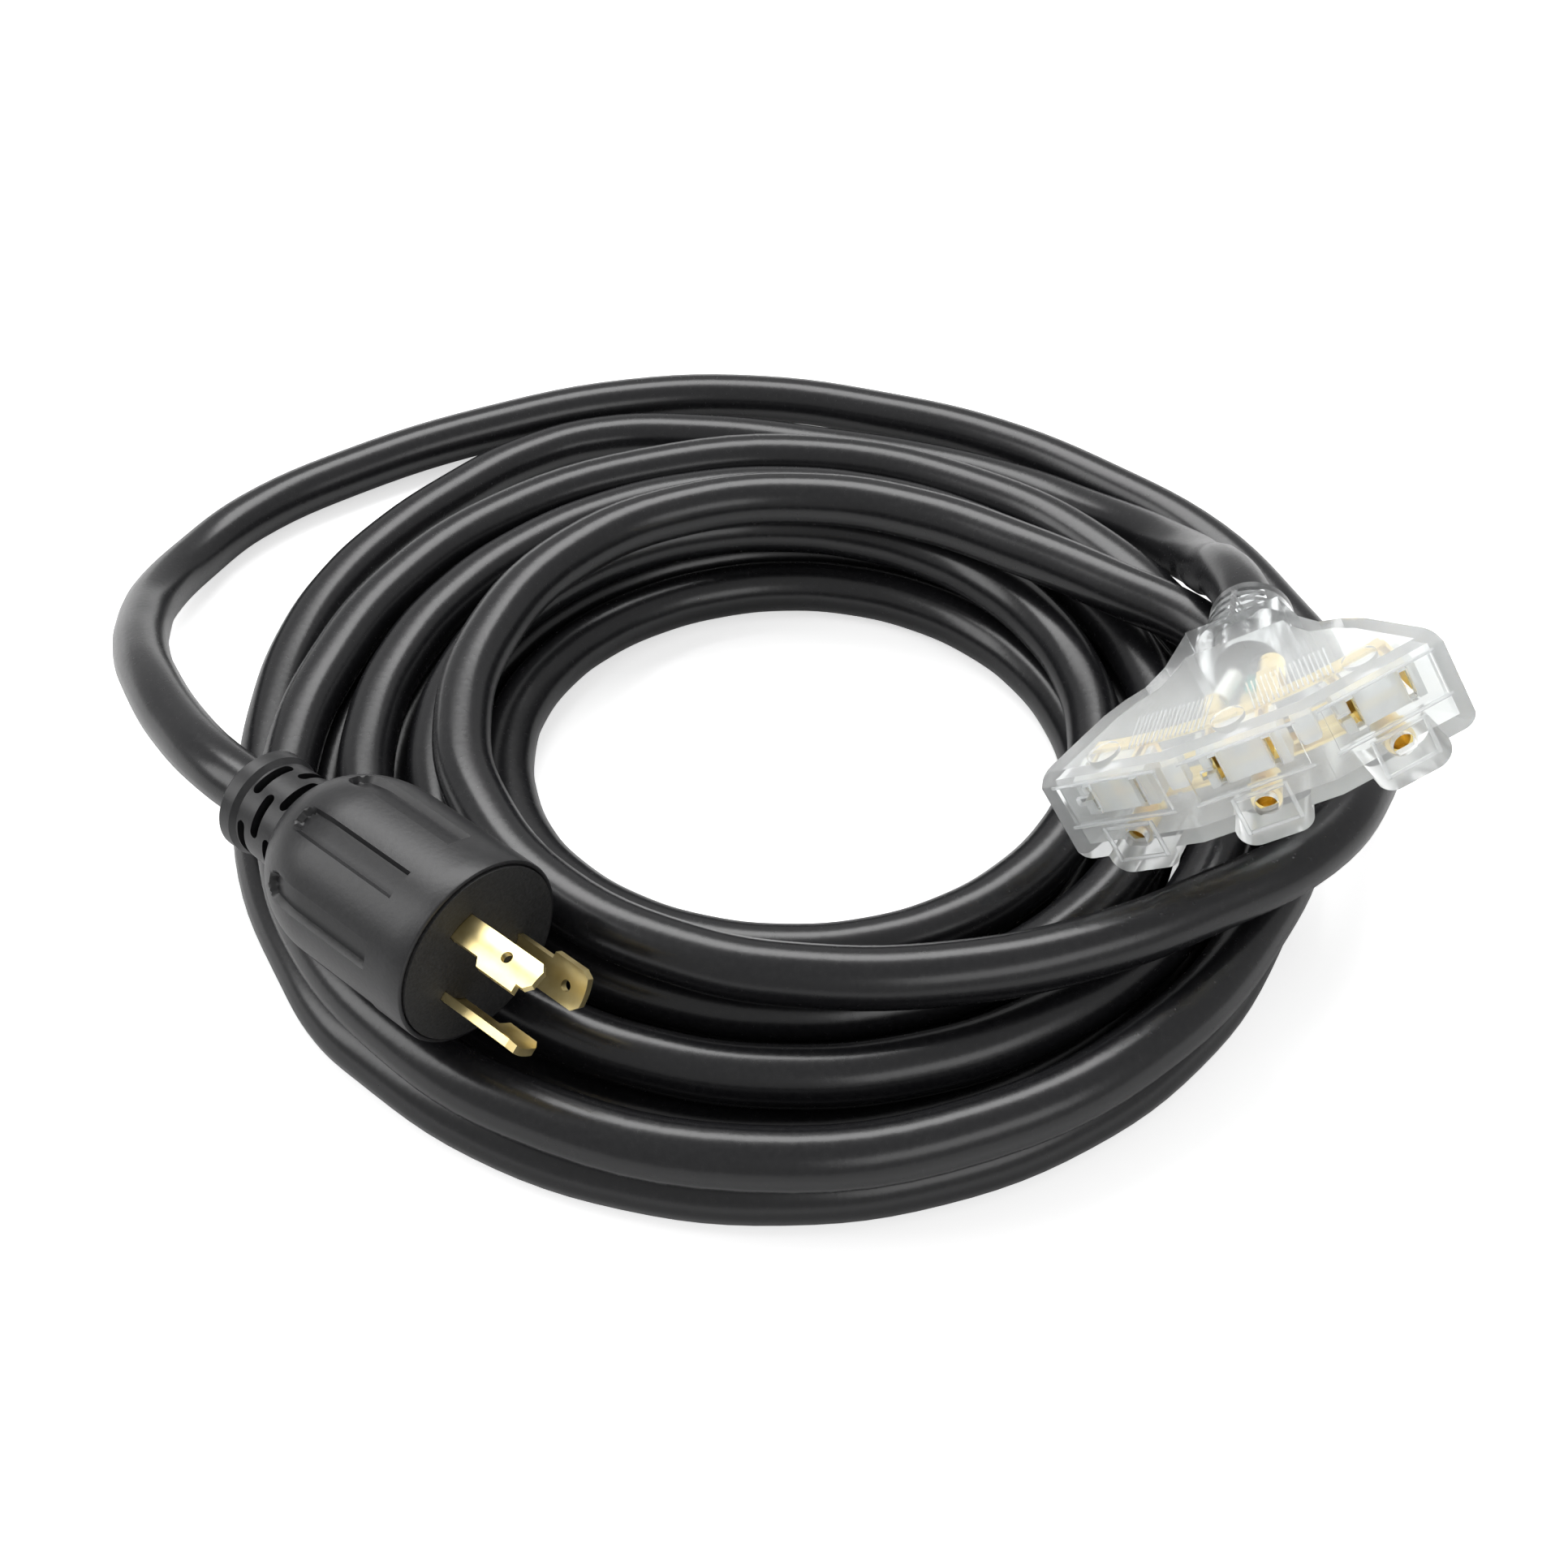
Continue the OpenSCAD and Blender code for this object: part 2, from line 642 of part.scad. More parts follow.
module hot_contact_strip() {
  color(brass) in_tap() {
    for (i = [-1:1]) facet(i) contact(slot_gap / 2, -slot_h / 2 + 1, hot_y + eps);
    fan_strip(hot_y, tail_x);
    crimp(tail_x, hot_crimp_y);
  }
}

module neutral_contact_strip() {
  color(brass) in_tap() {
    for (i = [-1:1]) facet(i) contact(-slot_gap / 2, neutral_y + strip_t - eps, slot_h / 2 - 1);
    fan_strip(neutral_y, -tail_x);
    crimp(-tail_x, neutral_crimp_y);
  }
}

module ground_contact_strip() {
  color(brass) in_tap() {
    for (i = [-1:1]) facet(i) difference() {
      translate([0, -ground_gap, socket_back]) cylinder(d = socket_d, h = -tap_wall - 1 - socket_back);
      translate([0, -ground_gap, socket_back + 1]) cylinder(d = ground_hole_d - 0.4, h = -socket_back);
    }
    fan_strip(ground_y - eps, 0);
    crimp(0, ground_crimp_y);
  }
}

module tap_wire(x, y, a) {
  back = tail(x, y) - [0, 0, tap_crimp_len];
  in_tap() rod(wire_from(a), back, wire_d, 1);
}

module tap_green_wire() {
  color([0.1, 0.55, 0.45]) tap_wire(0, ground_crimp_y, 180);
}

module tap_black_wire() {
  color([0.12, 0.12, 0.12]) tap_wire(tail_x, hot_crimp_y, side_angle);
}

module tap_white_wire() {
  color([0.9, 0.9, 0.88]) tap_wire(-tail_x, neutral_crimp_y, -side_angle);
}

module tap_cord_end() {
  color(black) in_tap() translate([0, neck_y, 0]) {
    translate([0, 0, -tap_len]) cylinder(d = cord_d, h = tap_len + tap_jacket_z);
    translate([0, 0, chamber_end - 2 * eps]) cylinder(d = cord_d + 1.5, h = 1 + 2 * eps);
  }
}

plug_body();
plug_strain_relief();
plug_face();
plug_ground_blade();
plug_hot_blade();
plug_neutral_blade();
plug_ground_crimp();
plug_hot_crimp();
plug_neutral_crimp();
plug_green_wire();
plug_black_wire();
plug_white_wire();
plug_cord_end();
tap_housing();
tap_strain_relief();
left_outlet_core();
middle_outlet_core();
right_outlet_core();
hot_contact_strip();
neutral_contact_strip();
ground_contact_strip();
tap_green_wire();
tap_black_wire();
tap_white_wire();
tap_cord_end();
cord_coil();
plug_lead();
tap_lead();
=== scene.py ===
"""Dresses a coiled power cord: locking plug, long black cord and clear triple tap.

Blender units are metres. Sizes below are millimetres and pass through MM, except for the
floor, the lamps and the depth of the surface grain, which are metres.
"""
import math

import bmesh
import bpy
from mathutils import Euler, Matrix, Vector


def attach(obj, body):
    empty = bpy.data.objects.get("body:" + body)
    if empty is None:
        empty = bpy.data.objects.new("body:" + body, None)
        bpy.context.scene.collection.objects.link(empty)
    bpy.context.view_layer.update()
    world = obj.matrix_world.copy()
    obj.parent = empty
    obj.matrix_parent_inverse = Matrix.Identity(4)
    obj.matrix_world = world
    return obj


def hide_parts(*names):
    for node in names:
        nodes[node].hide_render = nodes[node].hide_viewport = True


MM = 0.001

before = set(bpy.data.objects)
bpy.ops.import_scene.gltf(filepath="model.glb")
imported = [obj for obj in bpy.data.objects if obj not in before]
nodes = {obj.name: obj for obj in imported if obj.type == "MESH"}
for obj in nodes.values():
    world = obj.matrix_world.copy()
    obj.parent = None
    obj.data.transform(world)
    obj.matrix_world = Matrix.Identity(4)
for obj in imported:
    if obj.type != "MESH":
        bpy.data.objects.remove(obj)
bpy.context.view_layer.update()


# ---------- camera ----------
CAMERA_AT = Vector((13, -410.5, 392)) * MM
CAMERA_TILT = 45                      # degrees up from straight down
CAMERA_LENS = 45.65
SENSOR_WIDTH = 36


def add_camera():
    data = bpy.data.cameras.new("camera")
    data.lens = CAMERA_LENS
    data.sensor_width = SENSOR_WIDTH
    camera = bpy.data.objects.new("camera", data)
    camera.location = CAMERA_AT
    camera.rotation_euler = (math.radians(CAMERA_TILT), 0, 0)
    bpy.context.scene.collection.objects.link(camera)
    bpy.context.scene.camera = camera


add_camera()


# ---------- places ----------
REST_AT = Vector((13, -20.5, 0))      # the coil's axis on the floor


def place(at, turn):
    """Matrix of a frame in millimetres: it sits at a point, turned about x, y and z."""
    angles = [math.radians(a) for a in turn]
    return Matrix.Translation(at) @ Euler(angles, "XYZ").to_matrix().to_4x4()


# In both frames z points out of the face and the body lies behind it, at negative z.
PLUG = place(REST_AT + Vector((-67, -106, 55)), (0, 88.4, -41))
TAP = place(REST_AT + Vector((102, -76, 84)), (76, -32, -4))
TO_METRES = Matrix.Scale(MM, 4)


# ---------- cord ----------
CORD_D = 15
COIL_R = 75                           # where the coil climbs from the floor to its top layer
FLOOR_TURNS = 3.9
TOP_TURNS = 2.433
FLOOR_PITCH = 16.3
TOP_PITCH = 18.3
COIL_START = 225                      # degrees
LAYER_GAP = 0.6
CLIMB = 0.5                           # turns over which the cord climbs
KNOTS_PER_TURN = 24
HEADING_STEP = 0.002                  # turns to either side of a heading
CORD_ROUND = 6                        # resolution of the cord, round it and along it
PLUG_END = 78                         # from the plug's face to the end of its collar
TAP_LEN = 75                          # from the tap's face to the end of its neck
NECK_Y = -3.2                         # the neck lies below the middle of the tap

# Points of the free stretches, from the coil's axis: tap to coil, then coil to plug.
TAP_ROUTE = [
    (118.5, 11.5, 61.5), (118, 30, 53), (118.5, 45, 42), (119, 60.5, 32.5), (116, 76.5, 24),
    (109, 93, 17), (95.5, 110, 11.5), (75.5, 127, 8.5), (46, 140, 8), (12, 149, 8),
    (-26, 156, 8), (-60, 155, 8), (-85, 143, 8), (-106, 123, 8), (-123, 101, 8),
    (-135, 78, 8), (-142, 52, 8), (-144, 24, 8), (-142, -6, 8), (-135, -39, 8),
    (-119, -72, 8),
]
PLUG_ROUTE = [
    (122, 8, 23), (115, 39, 23), (93, 77, 23), (64, 103, 23), (11, 123, 23), (-44, 116, 23),
    (-87, 92, 23), (-113, 60, 23), (-126, 26, 23), (-131, -8, 23), (-127, -42, 23),
    (-114, -74, 23), (-90, -103, 23), (-60, -124, 23), (-8, -138, 23), (44, -130, 23),
    (88, -104, 23.5), (117, -69, 23.5), (129, -46, 27), (133, -22, 33.5), (127, 1, 39),
    (113, 22, 40), (92, 39, 40), (68, 56, 40), (40, 72, 40), (8, 80, 40), (-28, 75, 40),
    (-60, 54, 40), (-79, 20, 40), (-83, -18, 40), (-75, -46, 40), (-54, -75, 40),
    (-22, -94, 40), (6, -100, 40), (40, -99, 40), (72, -91, 40), (100, -78, 40),
    (128, -61, 40), (146, -37, 37), (156, -6, 25), (159, 28, 12), (150, 62, 8),
    (132, 100, 8), (104, 129, 8), (70, 154, 8), (34, 169, 8), (-8, 179, 8), (-52, 177, 8),
    (-98, 161, 8), (-140, 137, 8), (-168, 113, 8), (-180.5, 90, 9.5), (-185, 64, 16),
    (-181, 38, 26), (-175, 18, 34), (-165, -4, 42), (-152, -26, 48),
]


def smooth_step(u):
    """Rises smoothly from 0 to 1 as u does."""
    u = min(1, max(0, u))
    return u * u * (3 - 2 * u)


def coil_point(turns):
    """A point of the coil, which spirals in on the floor and out again on top."""
    angle = math.radians(COIL_START + 360 * turns)
    past = turns - FLOOR_TURNS
    radius = COIL_R + (-past * FLOOR_PITCH if past < 0 else past * TOP_PITCH)
    low, high = CORD_D / 2, CORD_D * 1.5 + LAYER_GAP
    height = low + (high - low) * smooth_step((past + CLIMB / 2) / CLIMB)
    return Vector((radius * math.cos(angle), radius * math.sin(angle), height))


def coil_heading(turns):
    """Direction of the cord at a point of the coil."""
    ahead = coil_point(turns + HEADING_STEP)
    return (ahead - coil_point(turns - HEADING_STEP)).normalized()


def cord_route():
    """The whole cord from the end of the tap's neck to the end of the plug's collar."""
    turns = FLOOR_TURNS + TOP_TURNS
    steps = round(turns * KNOTS_PER_TURN)
    coil = [coil_point(i / steps * turns) for i in range(steps + 1)]
    coil_in = coil[0] - coil_heading(0) * CORD_D
    coil_out = coil[-1] + coil_heading(turns) * CORD_D
    middle = [*TAP_ROUTE, coil_in, *coil, coil_out, *PLUG_ROUTE]
    start = [TAP @ Vector((0, NECK_Y, -TAP_LEN))]
    end = [PLUG @ Vector((0, 0, -PLUG_END - out)) for out in (CORD_D, 0)]
    return start + [Vector(p) + REST_AT for p in middle] + end


def add_cord(name, route):
    """A round cord on one smooth curve through the points of its route."""
    data = bpy.data.curves.new(name, "CURVE")
    data.dimensions = "3D"
    data.bevel_depth = 1                # times the radius of each knot
    data.bevel_resolution = CORD_ROUND
    data.resolution_u = CORD_ROUND
    data.use_fill_caps = True
    spline = data.splines.new("BEZIER")
    spline.bezier_points.add(len(route) - 1)
    for knot, point in zip(spline.bezier_points, route):
        knot.co = point * MM
        knot.radius = CORD_D / 2 * MM
    for knot in spline.bezier_points:
        knot.handle_left_type = knot.handle_right_type = "AUTO"
    cord = bpy.data.objects.new(name, data)
    bpy.context.scene.collection.objects.link(cord)
    return cord


route = cord_route()
cord = add_cord("cord", route)
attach(cord, "root")
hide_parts("tap_lead", "cord_coil", "plug_lead")


# ---------- materials ----------
GRAIN_DETAIL = 6
GRAIN_DEPTH = 0.0002
DARK_AT, LIGHT_AT = 0.3, 0.7          # values of the noise that take the two shades
METAL_GRAIN = (260, 0.15)             # scale and strength
CLEAR_GRAIN = (60, 0.03)
CLEAR_TINTS = ((0.96, 0.98, 0.98), (0.99, 1, 1))
CLEAR_IOR = 1.2
CLEAR_SHARE = 0.95                    # how much of the light the clear plastic lets through
CLEAR_SPREAD = 0.1                    # how much its roughness varies
CLEAR_Z = -52                         # along the tap: clear behind this,
MILKY_Z = -22                         # and milky in front of this


def new_material(name):
    material = bpy.data.materials.new(name)
    material.use_nodes = True
    tree = material.node_tree
    return material, tree, tree.nodes["Principled BSDF"]


def add_grain(tree, shader, scale, strength, low, high):
    """Fine moulded grain: it bumps the surface and varies its roughness from low to high."""
    place_node = tree.nodes.new("ShaderNodeTexCoord")
    noise = tree.nodes.new("ShaderNodeTexNoise")
    noise.inputs["Scale"].default_value = scale
    noise.inputs["Detail"].default_value = GRAIN_DETAIL
    tree.links.new(place_node.outputs["Object"], noise.inputs["Vector"])
    bump = tree.nodes.new("ShaderNodeBump")
    bump.inputs["Strength"].default_value = strength
    bump.inputs["Distance"].default_value = GRAIN_DEPTH
    tree.links.new(noise.outputs["Fac"], bump.inputs["Height"])
    tree.links.new(bump.outputs["Normal"], shader.inputs["Normal"])
    spread = tree.nodes.new("ShaderNodeMapRange")
    spread.inputs["To Min"].default_value = low
    spread.inputs["To Max"].default_value = high
    tree.links.new(noise.outputs["Fac"], spread.inputs["Value"])
    tree.links.new(spread.outputs["Result"], shader.inputs["Roughness"])
    return noise


def tint(tree, shader, noise, dark, light):
    """Colour that wavers between two shades with the same noise."""
    ramp = tree.nodes.new("ShaderNodeValToRGB")
    ramp.color_ramp.elements[0].position = DARK_AT
    ramp.color_ramp.elements[0].color = (*dark, 1)
    ramp.color_ramp.elements[1].position = LIGHT_AT
    ramp.color_ramp.elements[1].color = (*light, 1)
    tree.links.new(noise.outputs["Fac"], ramp.inputs["Fac"])
    tree.links.new(ramp.outputs["Color"], shader.inputs["Base Color"])


def moulded(name, dark, light, scale, strength, low, high):
    """Rubber or opaque plastic with a moulded grain."""
    material, tree, shader = new_material(name)
    noise = add_grain(tree, shader, scale, strength, low, high)
    tint(tree, shader, noise, dark, light)
    return material


def metal(name, dark, light, low, high):
    """Metal with a faint grain."""
    material, tree, shader = new_material(name)
    shader.inputs["Metallic"].default_value = 1
    noise = add_grain(tree, shader, *METAL_GRAIN, low, high)
    tint(tree, shader, noise, dark, light)
    return material


def clear_plastic(name, cloud, rough):
    """Clear plastic that turns milky towards the outlets, where it scatters up to cloud."""
    material, tree, shader = new_material(name)
    shader.inputs["IOR"].default_value = CLEAR_IOR
    noise = add_grain(tree, shader, *CLEAR_GRAIN, rough, rough + CLEAR_SPREAD)
    tint(tree, shader, noise, *CLEAR_TINTS)
    axis = TAP.to_3x3() @ Vector((0, 0, 1))
    place_node = tree.nodes.new("ShaderNodeTexCoord")
    along = tree.nodes.new("ShaderNodeVectorMath")
    along.operation = "DOT_PRODUCT"
    along.inputs[1].default_value = axis
    tree.links.new(place_node.outputs["Object"], along.inputs[0])
    spread = tree.nodes.new("ShaderNodeMapRange")
    start = axis.dot(TAP.translation)
    spread.inputs["From Min"].default_value = (start + CLEAR_Z) * MM
    spread.inputs["From Max"].default_value = (start + MILKY_Z) * MM
    spread.inputs["To Min"].default_value = CLEAR_SHARE
    spread.inputs["To Max"].default_value = 1 - cloud
    tree.links.new(along.outputs["Value"], spread.inputs["Value"])
    tree.links.new(spread.outputs["Result"], shader.inputs["Transmission Weight"])
    return material


# Two shades, then the grain's scale and strength where they aren't a metal's, then roughness.
JACKET = moulded("black_jacket", (0.006, 0.006, 0.007), (0.01, 0.01, 0.011),
                 700, 0.12, 0.22, 0.3)
RUBBER = moulded("black_rubber", (0.007, 0.007, 0.008), (0.012, 0.012, 0.013),
                 900, 0.2, 0.34, 0.44)
FACE = moulded("speckled_face", (0.004, 0.004, 0.004), (0.022, 0.022, 0.022),
               1600, 0.5, 0.5, 0.7)
BRASS = metal("bright_brass", (0.8, 0.64, 0.28), (0.92, 0.77, 0.4), 0.28, 0.4)
STRIP = metal("contact_brass", (0.88, 0.66, 0.22), (1, 0.82, 0.38), 0.2, 0.4)
GREEN = moulded("green_wire", (0.02, 0.3, 0.24), (0.03, 0.42, 0.34), 300, 0.1, 0.3, 0.45)
BLACK = moulded("black_wire", (0.015, 0.015, 0.016), (0.025, 0.025, 0.026),
                300, 0.1, 0.3, 0.45)
WHITE = moulded("white_wire", (0.8, 0.8, 0.77), (0.9, 0.9, 0.87), 300, 0.1, 0.3, 0.45)
MILKY = clear_plastic("milky_core", 0.45, 0.12)
CLEAR = clear_plastic("clear_moulding", 0.24, 0.1)

CAD_FINISHES = {
    JACKET: ["plug_cord_end", "tap_cord_end"],
    RUBBER: ["plug_body", "plug_strain_relief"],
    FACE: ["plug_face"],
    BRASS: ["plug_ground_blade", "plug_hot_blade", "plug_neutral_blade",
            "plug_ground_crimp", "plug_hot_crimp", "plug_neutral_crimp"],
    STRIP: ["hot_contact_strip", "neutral_contact_strip", "ground_contact_strip"],
    MILKY: ["left_outlet_core", "middle_outlet_core", "right_outlet_core"],
    GREEN: ["plug_green_wire", "tap_green_wire"],
    BLACK: ["plug_black_wire", "tap_black_wire"],
    WHITE: ["plug_white_wire", "tap_white_wire"],
    CLEAR: ["tap_housing", "tap_strain_relief"],
}
for material, names in CAD_FINISHES.items():
    for name in names:
        nodes[name].data.materials.clear()
        nodes[name].data.materials.append(material)
cord.data.materials.append(JACKET)


# ---------- shaped pieces ----------
SHARP_ANGLE = math.radians(40)


def finish_piece(name, mesh, matrix, material):
    """Makes a piece at the origin from a mesh in the plug's or the tap's own frame."""
    bmesh.ops.recalc_face_normals(mesh, faces=mesh.faces)
    bmesh.ops.transform(mesh, matrix=TO_METRES @ matrix, verts=mesh.verts)
    data = bpy.data.meshes.new(name)
    mesh.to_mesh(data)
    mesh.free()
    data.shade_smooth()
    data.set_sharp_from_angle(angle=SHARP_ANGLE)
    data.materials.append(material)
    piece = bpy.data.objects.new(name, data)
    bpy.context.scene.collection.objects.link(piece)
    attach(piece, "root")
    return piece


PLUG_R = 23
FACE_R = 21.8
FACE_T = 8
RIM = [(FACE_R, -FACE_T), (FACE_R, -0.9), (FACE_R + 0.3, -0.6), (PLUG_R - 0.4, -0.6),
       (PLUG_R - 0.1, -0.75), (PLUG_R, -1.1), (PLUG_R, -6)]
FLUTES = 8
FLUTE_HALF = 3.6
FLUTE_DEPTH = 1.8
FLUTE_FRONT = -12
FLUTE_BACK = -47
FLUTE_STEP = 0.4                      # length of the step at a flute's square front
FLUTE_SIDE = 0.7                      # width of a flute's sloping side
SIDE_RINGS = 16
SHOULDER_Z = -36
SHOULDER_RINGS = 24
SHOULDER_REACH = 24                   # half axes of the shoulder's oval
SHOULDER_DROP = 18
BODY_END = -56.5
END_CHAMFER = (0.6, 0.3)              # inwards and backwards
BORE_R = CORD_D / 2 + 0.2
OUTSIDE_R = CORD_D / 2 + 1            # beyond this the flutes press the body in
TURN_STEPS = 240


def body_profile():
    """Outline of the plug's body as (radius, z), from its recess over the rim to the back."""
    side_start = FLUTE_FRONT - FLUTE_STEP
    ring_pitch = (SHOULDER_Z - side_start) / SIDE_RINGS
    side = [(PLUG_R, FLUTE_FRONT + FLUTE_STEP), (PLUG_R, FLUTE_FRONT)]
    side += [(PLUG_R, side_start + ring_pitch * i) for i in range(SIDE_RINGS)]
    back = []
    for i in range(1, SHOULDER_RINGS + 1):
        z = SHOULDER_Z + (BODY_END - SHOULDER_Z) * i / SHOULDER_RINGS
        behind = (SHOULDER_Z - z) / SHOULDER_REACH
        drop = SHOULDER_DROP * (1 - math.sqrt(1 - behind ** 2))
        back.append((PLUG_R - drop, z))
    end_r, end_z = back[-1][0] - END_CHAMFER[0], BODY_END - END_CHAMFER[1]
    return RIM + side + back + [(end_r, end_z), (BORE_R, end_z)]


def flute_depth(point):
    """Depth of the finger flutes under a point of the body: square in front, round behind."""
    step = math.tau / FLUTES
    off = math.atan2(point.y, point.x) % step - step / 2
    across = abs(math.hypot(point.x, point.y) * math.sin(off))
    behind = max(0, FLUTE_BACK + FLUTE_HALF - point.z)
    inside = FLUTE_HALF - math.hypot(across, behind)
    front = FLUTE_FRONT - point.z
    return FLUTE_DEPTH * smooth_step(inside / FLUTE_SIDE) * smooth_step(front / FLUTE_STEP)


def make_plug_body():
    """The plug's body: its outline turned round z, with the flutes pressed in."""
    mesh = bmesh.new()
    ring = [mesh.verts.new((radius, 0, z)) for radius, z in body_profile()]
    edges = [mesh.edges.new(pair) for pair in zip(ring, ring[1:])]
    bmesh.ops.spin(mesh, geom=ring + edges, axis=(0, 0, 1), cent=(0, 0, 0),
                   steps=TURN_STEPS, angle=math.tau, use_merge=True)
    for vert in mesh.verts:
        radius = math.hypot(vert.co.x, vert.co.y)
        if radius > OUTSIDE_R and vert.co.z < FLUTE_FRONT:
            shrink = 1 - flute_depth(vert.co) / radius
            vert.co.x *= shrink
            vert.co.y *= shrink
    return finish_piece("fluted_body", mesh, PLUG, RUBBER)


FACET_TURN = math.radians(18.4)
APOTHEM = 101.87                      # from the fan's centre to the middle of a face
TAP_TOP = 9
OUTLETS = (-1, 0, 1)
BETWEEN = (-0.5, 0.5)

# Bars of the frame round a ground hole, on an outlet's face.
FRAME_X = 6.2
FRAME_TOP = -7.7
FRAME_BOTTOM = -17.1
FRAME_BAR = 1
FRAME_H = 0.9
FRAME_Z = 0.1
FRAME_BEVEL = 0.25

LEDGE_Y = 5.9
LEDGE_SIZE = (28, 0.7, 0.8)
LEDGE_BEVEL = 0.2

RIBS_TO_A_SIDE = 8
RIB_PITCH = 1.15
RIB_SIZE = (0.4, 0.4, 13)
RIB_PROUD = 0.05
RIB_Z = -13
RIB_BEVEL = 0.12

SPACER_AT = (-1, 0.5, -6.2)
SPACER_SIZE = (5, 8, 4.4)
SPACER_BEVEL = 1.2


def facet(index):
    """Frame of an outlet's face, in the tap's frame; a half is a place between two faces."""
    swing = Matrix.Rotation(index * FACET_TURN, 4, "Y")
    return Matrix.Translation((0, 0, -APOTHEM)) @ swing @ Matrix.Translation((0, 0, APOTHEM))


def add_block(mesh, frame_at, middle, size, bevel):
    """A small block with rounded edges."""
    shape = frame_at @ Matrix.Translation(middle) @ Matrix.Diagonal((*size, 1))
    made = bmesh.ops.create_cube(mesh, size=1, matrix=shape)
    edges = {edge for vert in made["verts"] for edge in vert.link_edges}
    bmesh.ops.bevel(mesh, geom=list(edges), offset=bevel, segments=2, profile=0.5,
                    affect="EDGES", material=-1)


def make_ground_frames():
    """The raised rectangles round the three ground holes."""
    mesh = bmesh.new()
    middle = (FRAME_TOP + FRAME_BOTTOM) / 2
    upright = (FRAME_BAR, FRAME_TOP - FRAME_BOTTOM + FRAME_BAR, FRAME_H)
    level = (2 * FRAME_X - FRAME_BAR, FRAME_BAR, FRAME_H)
    for index in OUTLETS:
        for x in (-FRAME_X, FRAME_X):
            add_block(mesh, facet(index), (x, middle, FRAME_Z), upright, FRAME_BEVEL)
        for y in (FRAME_TOP, FRAME_BOTTOM):
            add_block(mesh, facet(index), (0, y, FRAME_Z), level, FRAME_BEVEL)
    return finish_piece("ground_frames", mesh, TAP, CLEAR)


def make_slot_ledges():
    """The ledges above and below each outlet's recess."""
    mesh = bmesh.new()
    for index in OUTLETS:
        for y in (LEDGE_Y, -LEDGE_Y):
            add_block(mesh, facet(index), (0, y, 0), LEDGE_SIZE, LEDGE_BEVEL)
    return finish_piece("slot_ledges", mesh, TAP, CLEAR)


def make_top_ribs():
    """Fine grip ribs on the top plate, between the round bumps."""
    mesh = bmesh.new()
    for index in BETWEEN:
        for step in range(-RIBS_TO_A_SIDE, RIBS_TO_A_SIDE + 1):
            at = (step * RIB_PITCH, TAP_TOP + RIB_PROUD, RIB_Z)
            add_block(mesh, facet(index), at, RIB_SIZE, RIB_BEVEL)
    return finish_piece("top_ribs", mesh, TAP, CLEAR)


def make_spacers():
    """Milky blocks inside the tap, between the outlets."""
    mesh = bmesh.new()
    for index in BETWEEN:
        add_block(mesh, facet(index), SPACER_AT, SPACER_SIZE, SPACER_BEVEL)
    return finish_piece("outlet_spacers", mesh, TAP, MILKY)


plug_body = make_plug_body()
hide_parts("plug_body")
for piece in (make_ground_frames(), make_slot_ledges(), make_top_ribs()):
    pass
make_spacers()


# ---------- floor and light ----------
FLOOR_SIZE = 6
FLOOR_DROP = 0.0002
FLOOR_GREY = (0.8, 0.8, 0.8, 1)
FLOOR_ROUGH = 0.9
FLOOR_LIFT = 0.6
WHITE_LIGHT = (1, 1, 1, 1)
WORLD_LEVEL = 0.5
SOFTBOXES = [                         # name, place, width and height, power
    ("back_box", (-0.1, 0.55, 0.95), (1.1, 0.5), 11),
    ("left_box", (-0.9, -0.1, 0.7), (0.4, 0.8), 4),
    ("front_box", (0.5, -0.8, 0.6), (0.7, 0.4), 2),
]


def seen_directly(tree):
    """One for the camera's rays and for those through clear plastic, else nothing."""
    path = tree.nodes.new("ShaderNodeLightPath")
    either = tree.nodes.new("ShaderNodeMath")
    either.operation = "MAXIMUM"
    tree.links.new(path.outputs["Is Camera Ray"], either.inputs[0])
    tree.links.new(path.outputs["Is Transmission Ray"], either.inputs[1])
    return either.outputs["Value"]


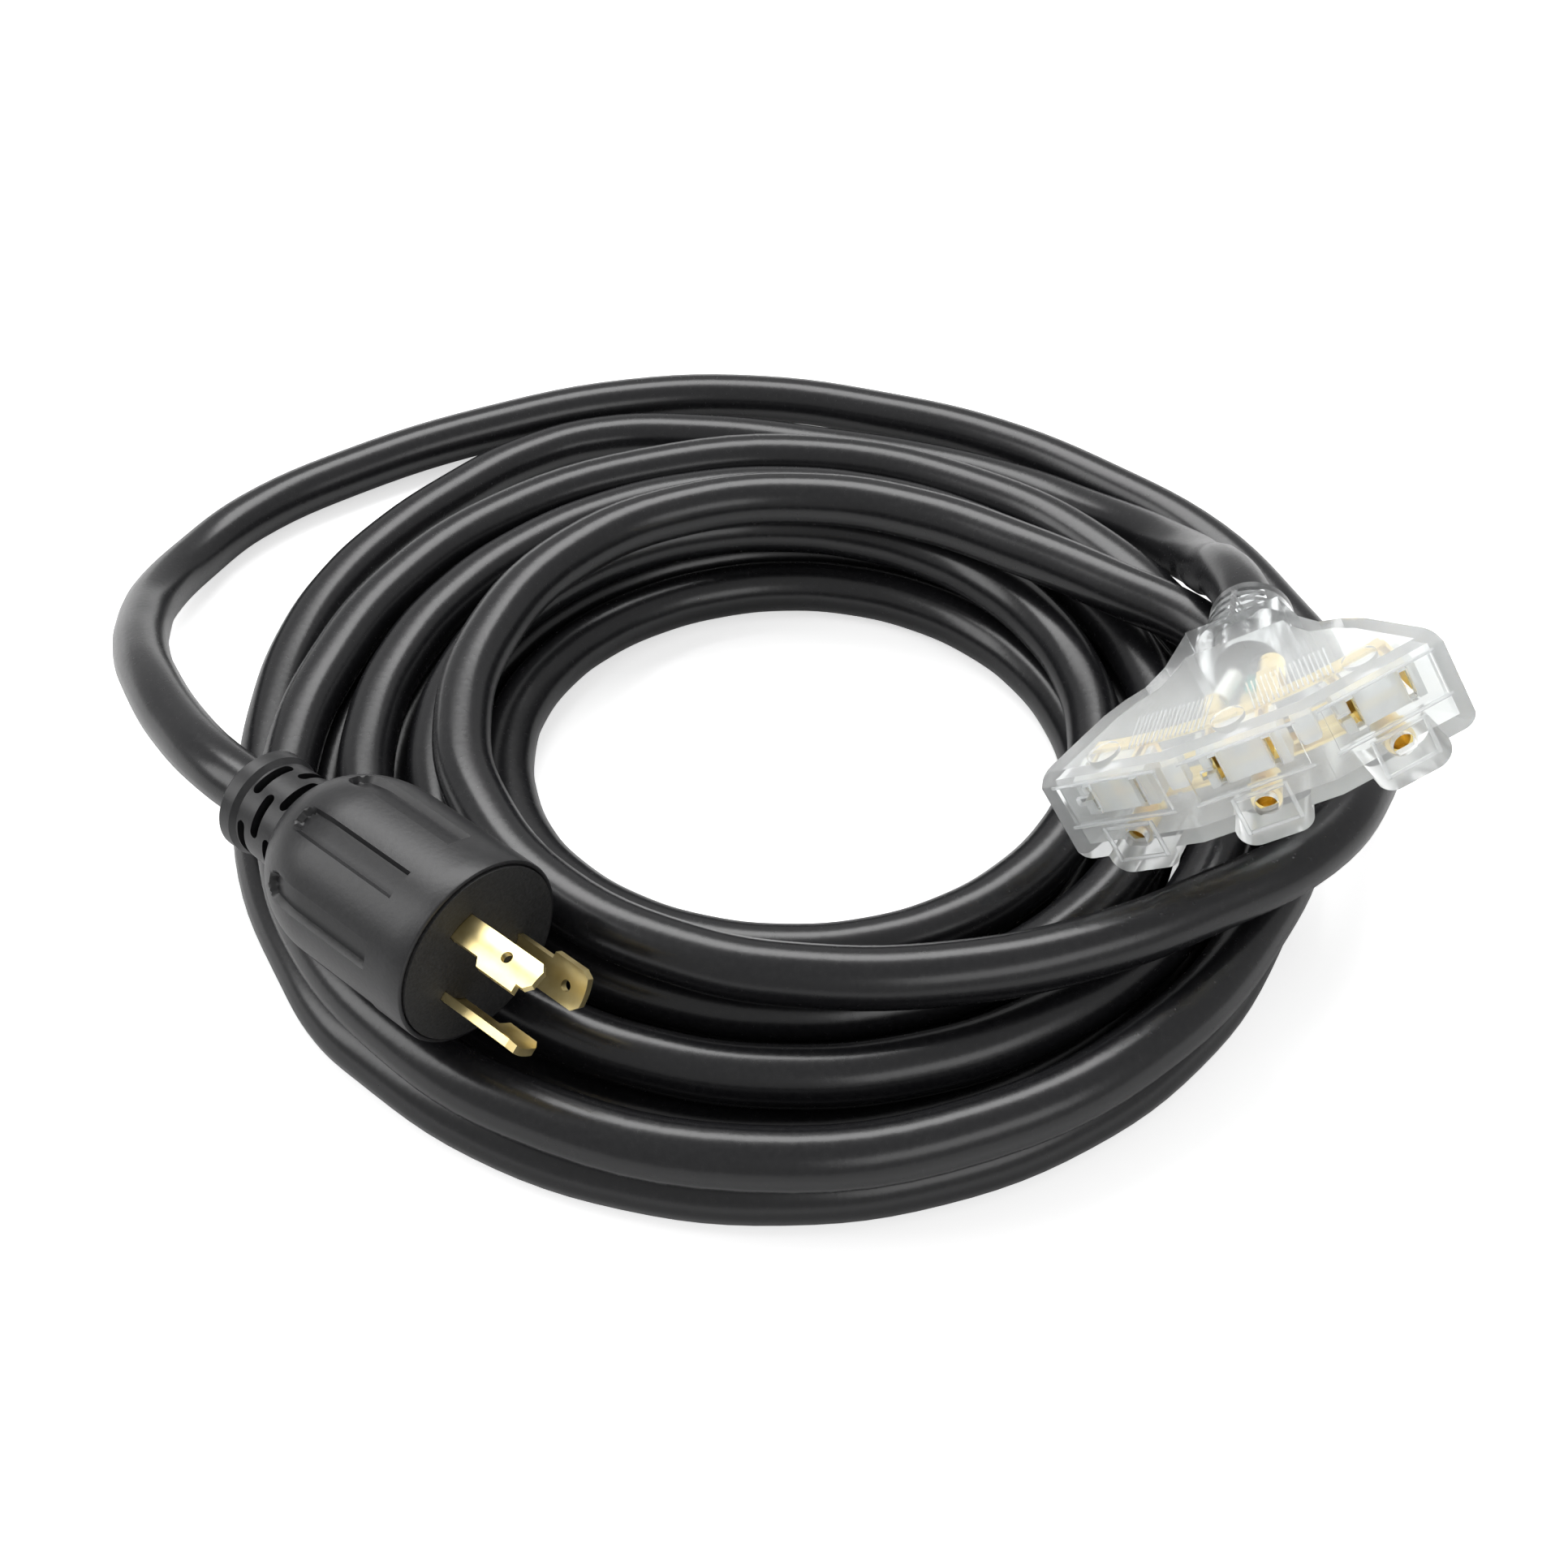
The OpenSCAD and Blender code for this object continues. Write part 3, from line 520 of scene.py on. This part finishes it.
def add_floor():
    """A pale floor that looks white: what is seen of it is lifted, and shadows stay soft."""
    mesh = bmesh.new()
    bmesh.ops.create_grid(mesh, x_segments=1, y_segments=1, size=FLOOR_SIZE)
    data = bpy.data.meshes.new("floor")
    mesh.to_mesh(data)
    mesh.free()
    floor = bpy.data.objects.new("floor", data)
    floor.location.z = -FLOOR_DROP
    bpy.context.scene.collection.objects.link(floor)
    material, tree, shader = new_material("white_floor")
    shader.inputs["Base Color"].default_value = FLOOR_GREY
    shader.inputs["Roughness"].default_value = FLOOR_ROUGH
    shader.inputs["Specular IOR Level"].default_value = 0
    shader.inputs["Emission Color"].default_value = WHITE_LIGHT
    lift = tree.nodes.new("ShaderNodeMath")
    lift.operation = "MULTIPLY"
    lift.inputs[1].default_value = FLOOR_LIFT
    tree.links.new(seen_directly(tree), lift.inputs[0])
    tree.links.new(lift.outputs["Value"], shader.inputs["Emission Strength"])
    data.materials.append(material)


def add_softbox(name, at, size, power):
    """A rectangular lamp that points at the origin."""
    data = bpy.data.lights.new(name, "AREA")
    data.shape = "RECTANGLE"
    data.size, data.size_y = size
    data.energy = power
    lamp = bpy.data.objects.new(name, data)
    lamp.location = at
    lamp.rotation_euler = (-Vector(at)).to_track_quat("-Z", "Y").to_euler()
    bpy.context.scene.collection.objects.link(lamp)


def add_world():
    """Even light of one level, which the camera and the clear plastic see as white."""
    world = bpy.data.worlds.new("studio")
    world.use_nodes = True
    tree = world.node_tree
    back = tree.nodes["Background"]
    back.inputs["Color"].default_value = WHITE_LIGHT
    seen = tree.nodes.new("ShaderNodeMapRange")
    seen.inputs["To Min"].default_value = WORLD_LEVEL
    seen.inputs["To Max"].default_value = 1
    tree.links.new(seen_directly(tree), seen.inputs["Value"])
    tree.links.new(seen.outputs["Result"], back.inputs["Strength"])
    bpy.context.scene.world = world


add_floor()
add_world()
for softbox in SOFTBOXES:
    add_softbox(*softbox)
bpy.context.scene.view_settings.view_transform = "Standard"

bpy.context.view_layer.update()
